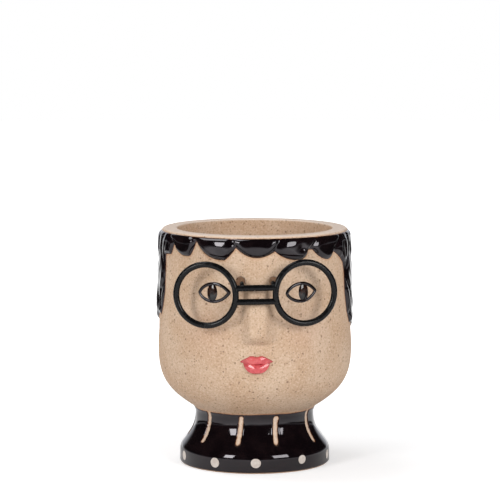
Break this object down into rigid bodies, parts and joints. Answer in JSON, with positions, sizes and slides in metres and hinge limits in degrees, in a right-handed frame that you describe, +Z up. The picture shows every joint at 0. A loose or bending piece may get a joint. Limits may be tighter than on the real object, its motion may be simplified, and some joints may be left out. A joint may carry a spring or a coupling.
{
  "type": "face vase",
  "caption": "Footed stoneware vase shaped as a head with black glazed hair, neck and foot, wearing lift-off wire glasses on two hooks.",
  "frame": {"origin": "centre of the flat base, where the vessel's axis meets the surface that it stands on", "axes": "+Z up along the vessel's axis; the face looks along -Y; +X is to the right as seen from the front"},
  "size_m": [0.11, 0.1147, 0.13],
  "materials": {
    "clay": "matte speckled stoneware",
    "black_glaze": "glossy",
    "white_glaze": "satin",
    "brown_glaze": "glossy",
    "pink_glaze": "glossy",
    "black_wire": "satin black"
  },
  "bodies": {
    "vessel": {"clay_vessel": "clay", "hair": "black_glaze", "neck_glaze": "black_glaze", "foot_dots": "white_glaze", "left_eye_line": "black_glaze", "right_eye_line": "black_glaze", "left_iris": "brown_glaze", "right_iris": "brown_glaze", "upper_lip": "pink_glaze", "lower_lip": "pink_glaze"},
    "glasses": {"left_rim": "black_wire", "right_rim": "black_wire", "upper_bridge": "black_wire", "lower_bridge": "black_wire", "left_hook": "black_wire", "right_hook": "black_wire"}
  },
  "joints": [
    {"name": "glasses_pull", "type": "slide", "parent": "vessel", "child": "glasses", "axis": [0, -0.9903, 0.1392], "range_m": [0, 0.025]}
  ]
}
